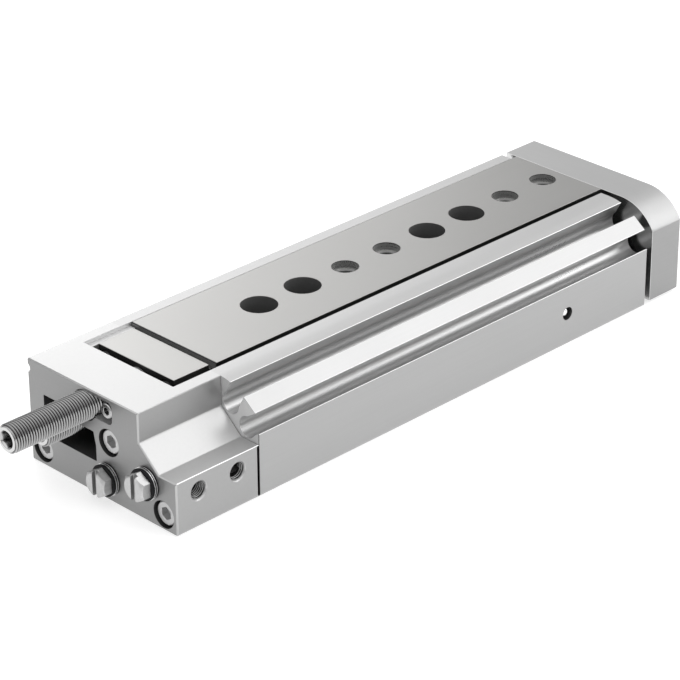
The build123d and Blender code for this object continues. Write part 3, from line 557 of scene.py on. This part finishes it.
def threadTree():
    tree = bpy.data.node_groups.new("thread skin", "GeometryNodeTree")
    tree.interface.new_socket("Geometry", in_out="INPUT", socket_type="NodeSocketGeometry")
    identifiers = {}
    for name, kind, value in threadSockets:
        socket = tree.interface.new_socket(name, in_out="INPUT", socket_type="NodeSocket" + kind)
        if value is not None:
            socket.default_value = value
        identifiers[name] = socket.identifier
    tree.interface.new_socket("Geometry", in_out="OUTPUT", socket_type="NodeSocketGeometry")
    graph = Graph(tree)
    given = graph.add("NodeGroupInput", out="Length")
    length, crest, depth, pitch, chamfer, sides, rows, inner, finish = (
        graph.pick(given, name) for name in identifiers)

    def reckon(operation, first, second=0.0):
        return graph.add("ShaderNodeMath", {"operation": operation}, {0: first, 1: second})

    steps = reckon("CEIL", length / pitch + 1) * rows
    grid = graph.add("GeometryNodeMeshGrid", None, {
        "Size X": 1.0, "Size Y": 1.0, "Vertices X": sides + 1, "Vertices Y": steps + 1})
    place = graph.add("GeometryNodeInputPosition")
    apart = graph.add("ShaderNodeSeparateXYZ", None, {0: place})
    aroundShare = apart + 0.5
    turn = (graph.pick(apart, 1) + 0.5) * steps / rows
    station = reckon("MINIMUM", reckon("MAXIMUM", (turn + aroundShare - 1) * pitch), length)
    wave = 1 - reckon("ABSOLUTE", reckon("FRACT", turn + threadProfile["rowShift"]) * 2 - 1)
    flanks = wave * threadProfile["steepness"] - threadProfile["flat"]
    cut = graph.add("ShaderNodeClamp", None, {"Value": flanks, "Min": 0.0, "Max": 1.0})
    fromEnd = reckon("MINIMUM", station, length - station)
    outside = reckon("MINIMUM", crest - cut * depth, crest - chamfer + fromEnd)
    hollow = reckon("MAXIMUM", crest + cut * depth, crest + chamfer - fromEnd)
    radius = graph.add("GeometryNodeSwitch", {"input_type": "FLOAT"}, {0: inner, 1: outside, 2: hollow})
    angle = aroundShare * (2 * math.pi)
    spot = graph.add("ShaderNodeCombineXYZ", None, {
        0: station, 1: radius * reckon("COSINE", angle), 2: radius * reckon("SINE", angle)})
    marked = graph.add("GeometryNodeStoreNamedAttribute", {"data_type": "FLOAT", "domain": "POINT"}, {
        "Geometry": grid, "Name": "groove", "Value": cut})
    curled = graph.add("GeometryNodeSetPosition", None, {"Geometry": marked, "Position": spot})
    merged = graph.add("GeometryNodeMergeByDistance", None, {
        "Geometry": curled, "Distance": threadProfile["weld"] * mm})
    facing = graph.add("GeometryNodeFlipFaces", None, {"Mesh": merged, "Selection": inner})
    real = graph.add("GeometryNodeRealizeInstances", None, {"Geometry": facing})
    coated = graph.add("GeometryNodeSetMaterial", None, {"Geometry": real, "Material": finish})
    graph.add("NodeGroupOutput", None, {0: coated})
    return tree, identifiers


threadGroup, threadInputs = threadTree()


def threadSkin(finish, length, sizes, inner=False):
    draft = bpy.data.objects.new("threadDraft", bpy.data.meshes.new("threadDraft"))
    bpy.context.scene.collection.objects.link(draft)
    modifier = draft.modifiers.new("thread", "NODES")
    modifier.node_group = threadGroup
    given = (length * mm, sizes["crest"] * mm, sizes["depth"] * mm, sizes["pitch"] * mm,
             sizes["chamfer"] * mm, sizes["sides"], sizes["rows"], inner, finishes[finish])
    for name, value in zip(threadInputs, given):
        modifier[threadInputs[name]] = value
    mesh = bakedMesh(draft)
    bpy.data.objects.remove(draft)
    skin = bmesh.new()
    skin.from_mesh(mesh)
    return skin


def hexRadius(angle, acrossFlats):
    return acrossFlats / 2 / math.cos((angle + math.pi / 6) % (math.pi / 3) - math.pi / 6)


# rings of points about the X axis, each (x, radius or a rule of the angle) in mm, skinned in order
def addRings(skin, rings, sides, closeLast=False):
    made = []
    for x, radius in rings:
        ring = []
        for k in range(sides):
            angle = 2 * math.pi * k / sides
            r = (radius(angle) if callable(radius) else radius) * mm
            ring.append(skin.verts.new((x * mm, r * math.cos(angle), r * math.sin(angle))))
        made.append(ring)
    for one, two in zip(made, made[1:]):
        for k in range(sides):
            n = (k + 1) % sides
            skin.faces.new((one[k], two[k], two[n], one[n]))
    if closeLast:
        skin.faces.new(made[-1][::-1])


def finishSkin(skin, start, facing=(1, 0, 0)):
    bmesh.ops.remove_doubles(skin, verts=skin.verts[:], dist=skinLimits["ringWeld"] * mm)
    bmesh.ops.recalc_face_normals(skin, faces=skin.faces[:])
    turn = Vector((1, 0, 0)).rotation_difference(Vector(facing)).to_matrix().to_4x4()
    bmesh.ops.transform(skin, matrix=Matrix.Translation(Vector(start) * mm) @ turn, verts=skin.verts[:])
    for face in skin.faces:
        face.smooth = True
    for edge in skin.edges:
        bend = math.degrees(edge.calc_face_angle(0.0)) if len(edge.link_faces) == 2 else math.inf
        edge.smooth = bend < skinLimits["roundTurn"]
    return meshOf(skin, "skin")


sleeves = {"retract_stop_sleeve": "retractSleeveThreaded", "advance_stop_sleeve": "advanceSleeveThreaded"}
sleeveSizes = {"crest": 4.95, "depth": 0.6, "pitch": 1.0, "chamfer": 0.8, "sides": 48, "rows": 6,
               "key": 5.0, "keyDepth": 7.0, "keyCone": 0.9, "keyTip": 0.1, "keyMouth": 1.1,
               "keyLead": (0.1, 0.35), "buffer": 3.0, "bufferDepth": 16.0, "rim": 0.05}


def keyRing(angle):
    return hexRadius(angle, sleeveSizes["key"])


for node, name in sleeves.items():
    low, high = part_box(node)
    length = (high.x - low.x) / mm
    start = (low.x / mm, (low.y + high.y) / 2 / mm, (low.z + high.z) / 2 / mm)
    s = sleeveSizes
    skin = threadSkin("thread", length, s)
    end = s["crest"] - s["chamfer"]
    corner = s["key"] / math.sqrt(3)
    addRings(skin, [(0.0, end), (0.0, corner * s["keyMouth"]), (corner * s["keyLead"][0], corner),
                    (corner * s["keyLead"][1], keyRing), (s["keyDepth"], keyRing),
                    (s["keyDepth"] + s["keyCone"], s["keyTip"])], s["sides"], True)
    addRings(skin, [(length, end), (length, s["buffer"]), (length - s["bufferDepth"], s["buffer"])],
             s["sides"], True)
    mesh = finishSkin(skin, start)
    # the sleeve's front rim gets a painted highlight
    rim = [int(face.center.x / mm < start[0] + s["rim"]) for face in mesh.polygons]
    piece = showMesh(name, mesh, ["thread", "softEdge"], cadNodes[node]["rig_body"], "bright_steel", node)
    piece.data.polygons.foreach_set("material_index", rim)
print("stop sleeves threaded")

# tapped holes: the thread's crest stands in the hole by its depth, and a ring behind it closes the skin
tappedHoles = {
    "portThreads": {"finish": "tapped", "rides": "end_cap", "facing": (0, 1, 0),
                    "places": [((x, -43.65, portHeight), depth) for x, depth in zip(portX, (4.2, 1.9))],
                    "crest": 2.6, "depth": 0.38, "pitch": 0.75, "chamfer": 0.4, "sides": 40, "rows": 6},
    # the payload holes' threads get a near-black finish: painted shade
    "payloadThreads": {"finish": "deep", "rides": "slide_plate", "facing": (0, 0, -1),
                       "places": [((x, 0, 33.65), 6.5) for x in payloadX],
                       "crest": 3.38, "depth": 0.35, "pitch": 1.25, "chamfer": 0.36,
                       "sides": 40, "rows": 6},
    "yokeThreads": {"finish": "tapped", "rides": "yoke_plate", "facing": (-1, 0, 0),
                    "places": [((114.25, y, z), 9.5) for y in (-15, 15) for z in (8, 22)],
                    "crest": 1.8, "depth": 0.27, "pitch": 0.8, "chamfer": 0.28, "sides": 32, "rows": 6},
}
backRing = {"inset": 0.02, "rise": 0.03}
for name, hole in tappedHoles.items():
    joined = bmesh.new()
    for start, length in hole["places"]:
        skin = threadSkin(hole["finish"], length, hole, True)
        root = hole["crest"] + hole["chamfer"]
        raised = root + backRing["rise"]
        addRings(skin, [(0.0, root), (backRing["inset"], raised), (length - backRing["inset"], raised),
                        (length, root)], hole["sides"])
        joined.from_mesh(finishSkin(skin, start, hole["facing"]))
    showMesh(name, meshOf(joined, name), [hole["finish"]], cadNodes[hole["rides"]]["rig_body"],
             slotOf[hole["rides"]])
print("holes tapped")

# turned rings under the plugs' heads: from x, to x, outer radius, how far the corners are rounded, and the
# finish; on the washers the bright beads carry a painted highlight and the thin black rubber rings between
# them are painted shade
plugRings = {
    "sealRings": {"stands for": "plug_seal_rings", "rings": [(-130.1, -129.2, 5.45, 0.3, "rubber")]},
    "beadedWashers": {"stands for": "plug_washers", "rings": [
        (-129.2, -128.92, 5.54, 0.04, "edge"), (-128.92, -128.5, 5.46, 0.03, "rubber"),
        (-128.5, -128.22, 5.54, 0.04, "edge"), (-128.22, -127.7, 5.48, 0.05, "rubber")]},
}
ringSizes = {"bore": 3.6, "sides": 64, "cornerShare": 0.3}


def roundedRing(start, end, radius, rounding):
    bore = ringSizes["bore"]
    part = ringSizes["cornerShare"] * rounding
    return [(start, bore), (start, radius - rounding), (start + part, radius - part),
            (start + rounding, radius), (end - rounding, radius), (end - part, radius - part),
            (end, radius - rounding), (end, bore), (start, bore)]


for name, sizes in plugRings.items():
    joined = bmesh.new()
    used = []
    indices = []
    for y, z in plugPlaces:
        for start, end, radius, rounding, finish in sizes["rings"]:
            ring = bmesh.new()
            addRings(ring, roundedRing(start, end, radius, rounding), ringSizes["sides"])
            mesh = finishSkin(ring, (0, y, z))
            if finish not in used:
                used.append(finish)
            indices += [used.index(finish)] * len(mesh.polygons)
            joined.from_mesh(mesh)
    node = sizes["stands for"]
    piece = showMesh(name, meshOf(joined, name), used, cadNodes[node]["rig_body"], slotOf[node], node)
    piece.data.polygons.foreach_set("material_index", indices)
print("plugs ringed")

# tones as shares of white; the camera's place in mm, its direction, and its lens and sensor in mm
studio = {
    "floorSize": 8.0, "floorTone": 0.5, "floorRoughness": 0.9, "floorGlow": 0.62, "floorDrop": 0.2,
    "horizonTone": 0.42, "zenithTone": 1.82, "eye": (-639.06, -634.30, 472.36),
    "gaze": (0.62376, 0.63163, -0.4604), "up": (0.32782, 0.32331, 0.88769),
    "lens": 155.74, "sensor": 36.0, "farthestSeen": 20.0,
}
# name: place and side in metres, power in watts; each looks at the object
lamps = {
    "backSoftbox": ((0.631, 1.497, 0.776), 0.9, 3.24),
    "lowBackSoftbox": ((1.030, 1.392, 0.488), 0.7, 1.99),
    "highBackSoftbox": ((0.420, 0.720, 0.864), 0.6, 0.60),
    "highSideSoftbox": ((1.118, -0.505, 1.317), 1.0, 4.40),
    "endSoftbox": ((1.455, -0.909, 0.546), 0.9, 7.62),
    "overheadSoftbox": ((0.541, -0.902, 1.461), 1.0, 0.58),
    "frontSoftbox": ((0.359, -1.706, 0.449), 1.0, 4.44),
}

bpy.ops.mesh.primitive_plane_add(size=studio["floorSize"], location=(0, 0, -studio["floorDrop"] * mm))
floor = bpy.context.object
floor.name = "studioFloor"
floorFinish, graph = startFinish("pale studio floor")
surface = graph.add("ShaderNodeBsdfPrincipled", None, {
    "Base Color": shade(grey(studio["floorTone"]), 1.0), "Roughness": studio["floorRoughness"],
    "Emission Color": (1.0, 1.0, 1.0, 1.0), "Emission Strength": studio["floorGlow"]})
graph.add("ShaderNodeOutputMaterial", None, {"Surface": surface})
floor.data.materials.append(floorFinish)

world = bpy.data.worlds.new("studio")
bpy.context.scene.world = world
world.use_nodes = True
world.node_tree.nodes.clear()
graph = Graph(world.node_tree)
outward = graph.add("ShaderNodeTexCoord", out="Generated")
height = graph.pick(graph.add("ShaderNodeSeparateXYZ", None, {0: outward}), 2)
tone = graph.add("ShaderNodeMapRange", {"interpolation_type": "SMOOTHSTEP"}, {
    "Value": height, "To Min": studio["horizonTone"], "To Max": studio["zenithTone"]})
dome = graph.add("ShaderNodeBackground", None, {"Strength": tone})
graph.add("ShaderNodeOutputWorld", None, {"Surface": dome})

for name, (place, side, watts) in lamps.items():
    lamp = bpy.data.lights.new(name, "AREA")
    lamp.size = side
    lamp.energy = watts
    stand = bpy.data.objects.new(name, lamp)
    aimed = (-Vector(place)).to_track_quat("-Z", "Y").to_matrix().to_4x4()
    stand.matrix_world = Matrix.Translation(place) @ aimed
    bpy.context.scene.collection.objects.link(stand)

gaze = Vector(studio["gaze"]).normalized()
right = gaze.cross(Vector(studio["up"])).normalized()
up = right.cross(gaze)
camera = bpy.data.cameras.new("camera")
camera.lens = studio["lens"]
camera.sensor_width = studio["sensor"]
camera.clip_end = studio["farthestSeen"]
viewer = bpy.data.objects.new("camera", camera)
turn = Matrix((right, up, -gaze)).transposed().to_4x4()
viewer.matrix_world = Matrix.Translation(Vector(studio["eye"]) * mm) @ turn
bpy.context.scene.collection.objects.link(viewer)
bpy.context.scene.camera = viewer
bpy.context.scene.view_settings.view_transform = "Standard"
bpy.context.scene.view_settings.look = "None"
print("studio lit")
